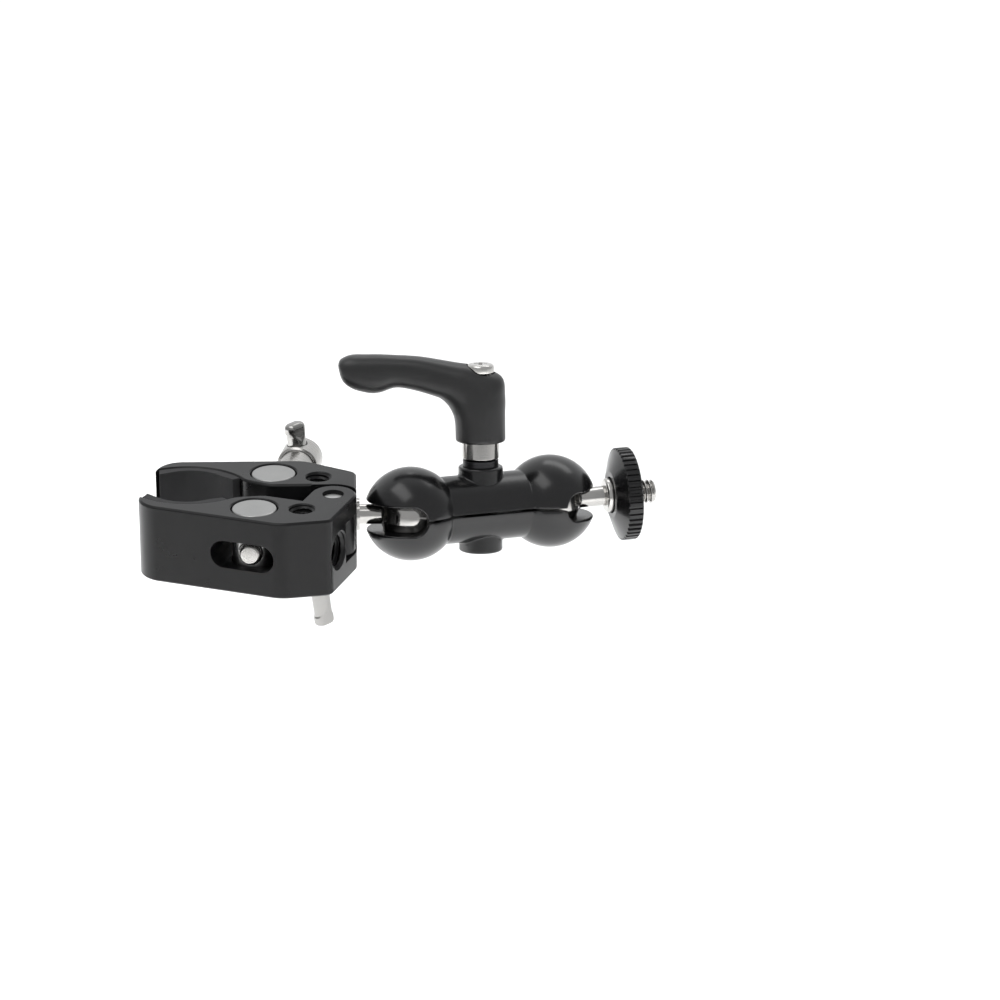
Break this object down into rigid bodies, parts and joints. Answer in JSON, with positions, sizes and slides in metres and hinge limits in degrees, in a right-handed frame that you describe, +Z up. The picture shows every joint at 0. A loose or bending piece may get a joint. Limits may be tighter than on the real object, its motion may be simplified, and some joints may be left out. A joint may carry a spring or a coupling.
{
  "type": "super clamp",
  "caption": "Small super clamp: rubber-padded jaws closed by a T-screw, carrying a double ball arm with a ratchet lever and a 1/4\"-20 stud with a lock wheel.",
  "frame": {"origin": "axis of the gripped pole at the jaws' mid-height", "axes": "+Z up the gripped pole, +X from the pole to the jaws' hinge pin, +Y towards the rear jaw and the T-screw's head"},
  "size_m": [0.1262, 0.0761, 0.0861],
  "materials": {
    "anodised_jaw": "black anodised, fine matte",
    "grip_rubber": "matte black rubber",
    "barrel_steel": "turned, nickel plated",
    "pin_steel": "turned end faces",
    "screw_steel": "nickel plated, satin",
    "ring_steel": "spring wire",
    "bar_steel": "nickel plated, polished",
    "stud_steel": "nickel plated, polished",
    "shell_lacquer": "gloss black powder coat",
    "bolt_steel": "black oxide",
    "spring_steel": "spring wire",
    "washer_steel": "dark oxide",
    "insert_steel": "turned, plated",
    "lever_lacquer": "satin black powder coat",
    "lever_screw_steel": "nickel plated",
    "collar_steel": "nickel plated",
    "wheel_lacquer": "gloss black anodised",
    "wheel_rubber": "matte black rubber"
  },
  "bodies": {
    "rear_jaw": {"rear_jaw": "anodised_jaw", "rear_jaw_pad": "grip_rubber"},
    "front_jaw": {"front_jaw": "anodised_jaw", "front_jaw_pad": "grip_rubber", "jaw_pivot_pin": "pin_steel"},
    "rear_barrel": {"rear_barrel": "barrel_steel"},
    "clamp_screw": {"clamp_screw": "screw_steel", "screw_retaining_ring": "ring_steel"},
    "tommy_bar": {"tommy_bar": "bar_steel"},
    "front_barrel": {"front_barrel_nut": "barrel_steel"},
    "clamp_stud": {"clamp_ball_stud": "stud_steel"},
    "arm": {"upper_shell": "shell_lacquer", "shell_spring": "spring_steel", "thrust_washer": "washer_steel", "spring_washer": "washer_steel"},
    "lower_shell": {"lower_shell": "shell_lacquer", "arm_bolt": "bolt_steel"},
    "lever_insert": {"lever_insert": "insert_steel", "lever_screw": "lever_screw_steel", "lever_spring": "spring_steel"},
    "lever": {"ratchet_lever": "lever_lacquer"},
    "light_stud": {"light_ball_stud": "stud_steel", "light_stud_collar": "collar_steel"},
    "wheel_pad": {"thumbwheel_pad": "wheel_rubber"},
    "thumbwheel": {"thumbwheel": "wheel_lacquer"}
  },
  "joints": [
    {"name": "rear_barrel_swivel", "type": "hinge", "parent": "rear_jaw", "child": "rear_barrel", "pos_m": [0.01965, 0.01192, 0], "axis": [0, 0, 1], "range_deg": [-7.8, 15.6]},
    {"name": "screw_spin", "type": "hinge", "parent": "rear_barrel", "child": "clamp_screw", "pos_m": [0.01965, 0.01192, 0], "axis": [0, 1, 0], "range_deg": [-1726, 3475]},
    {"name": "tommy_bar_slide", "type": "slide", "parent": "clamp_screw", "child": "tommy_bar", "axis": [-0.1305, 0, 0.9914], "range_m": [0, 0.0365]},
    {"name": "jaw_pivot", "type": "hinge", "parent": "rear_jaw", "child": "front_jaw", "pos_m": [0.0375, 0, 0], "axis": [0, 0, 1], "range_deg": [-15.6, 31.2]},
    {"name": "front_barrel_swivel", "type": "hinge", "parent": "front_jaw", "child": "front_barrel", "pos_m": [0.01965, -0.01192, 0], "axis": [0, 0, 1], "range_deg": [-15.6, 7.8]},
    {"name": "arm_twist", "type": "hinge", "parent": "rear_jaw", "child": "clamp_stud", "pos_m": [0.0549, 0.01465, 0], "axis": [0.9829, 0.184, 0], "continuous": true},
    {"name": "arm_swing", "type": "hinge", "parent": "clamp_stud", "child": "arm", "pos_m": [0.0549, 0.01465, 0], "axis": [-0.0319, 0.1707, 0.9848], "range_deg": [-89, 47]},
    {"name": "lever_turn", "type": "hinge", "parent": "arm", "child": "lever_insert", "pos_m": [0.07162, 0.02482, -0.00122], "axis": [-0.0319, 0.1707, 0.9848], "range_deg": [0, 150]},
    {"name": "shell_release", "type": "slide", "parent": "arm", "child": "lower_shell", "axis": [0.0319, -0.1707, -0.9848], "range_m": [0, 0.0005]},
    {"name": "lever_lift", "type": "slide", "parent": "lever_insert", "child": "lever", "axis": [-0.0319, 0.1707, 0.9848], "range_m": [0, 0.0035], "stiffness_N_per_m": 400, "springref_m": -0.003, "deforming": ["lever_spring"]},
    {"name": "light_stud_swing", "type": "hinge", "parent": "arm", "child": "light_stud", "pos_m": [0.08833, 0.03498, -0.00244], "axis": [-0.0319, 0.1707, 0.9848], "range_deg": [-58, 78]},
    {"name": "thumbwheel_travel", "type": "slide", "parent": "light_stud", "child": "wheel_pad", "axis": [0.9282, 0.3721, 0.0081], "range_m": [-0.0009, 0.0039]},
    {"name": "thumbwheel_spin", "type": "hinge", "parent": "wheel_pad", "child": "thumbwheel", "pos_m": [0.10782, 0.0428, -0.00227], "axis": [0.9282, 0.3721, 0.0081], "range_deg": [-250, 1080]}
  ],
  "couplings": [
    {"joint": "jaw_pivot", "follows": "screw_spin", "ratio": 0.0089206},
    {"joint": "rear_barrel_swivel", "follows": "screw_spin", "ratio": 0.0044603},
    {"joint": "front_barrel_swivel", "follows": "screw_spin", "ratio": -0.0044603},
    {"joint": "shell_release", "follows": "lever_turn", "m_per_rad": 0.00015915},
    {"joint": "thumbwheel_travel", "follows": "thumbwheel_spin", "m_per_rad": 0.00020213}
  ]
}
